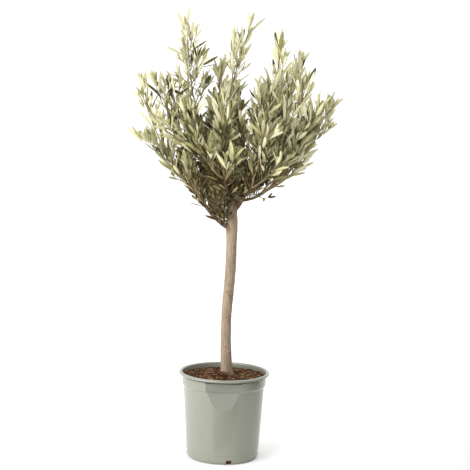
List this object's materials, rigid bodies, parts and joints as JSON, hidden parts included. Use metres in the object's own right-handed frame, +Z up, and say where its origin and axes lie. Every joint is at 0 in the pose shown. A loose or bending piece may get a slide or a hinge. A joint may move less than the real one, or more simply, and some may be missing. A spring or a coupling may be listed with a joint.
{
  "type": "potted olive tree",
  "caption": "Young olive tree with a clear upright stem and an open, rounded crown of narrow leaves, growing in a plain round nursery pot.",
  "frame": {"origin": "middle of the flat underside of the pot, level with the ground that it stands on", "axes": "+Z up along the trunk; -Y towards the picture's camera, the side with the pot's flattened front; +X to the right in the picture"},
  "size_m": [0.5048, 0.3932, 1.0428],
  "materials": {
    "pot_plastic": "smooth sage-grey moulded plastic with a soft sheen",
    "soil": "dark brown potting mix with reddish fibres and fine chips",
    "bark": "light grey-brown bark, finely furrowed lengthwise, with small scars",
    "young_bark": "smoother greenish-brown bark of young limbs",
    "olive_leaf": "leathery grey-green leaves, pale and silvery underneath"
  },
  "bodies": {
    "root": {"pot": "pot_plastic", "soil": "soil", "trunk": "bark", "bough_back": "young_bark", "bough_front": "young_bark", "bough_leader": "young_bark", "bough_left": "young_bark", "bough_left_low": "young_bark", "bough_right": "young_bark", "bough_right_back": "young_bark", "bough_right_front": "young_bark", "bough_right_low": "young_bark", "foliage_back_left": "olive_leaf", "foliage_back_low": "olive_leaf", "foliage_back_tall": "olive_leaf", "foliage_front_left": "olive_leaf", "foliage_front_low": "olive_leaf", "foliage_front_tall": "olive_leaf", "foliage_leader_back": "olive_leaf", "foliage_leader_front": "olive_leaf", "foliage_leader_tall": "olive_leaf", "foliage_left_back": "olive_leaf", "foliage_left_front": "olive_leaf", "foliage_left_low_back": "olive_leaf", "foliage_left_low_front": "olive_leaf", "foliage_left_low_inner": "olive_leaf", "foliage_left_low_outer": "olive_leaf", "foliage_left_low_sprout": "olive_leaf", "foliage_left_low_upper": "olive_leaf", "foliage_left_outer": "olive_leaf", "foliage_left_tall": "olive_leaf", "foliage_right_back_low": "olive_leaf", "foliage_right_back_tall": "olive_leaf", "foliage_right_back_upper": "olive_leaf", "foliage_right_front_low": "olive_leaf", "foliage_right_front_upper": "olive_leaf", "foliage_right_inner": "olive_leaf", "foliage_right_low_back": "olive_leaf", "foliage_right_low_front": "olive_leaf", "foliage_right_low_outer": "olive_leaf", "foliage_right_outer": "olive_leaf", "foliage_right_tall": "olive_leaf"}
  },
  "joints": []
}
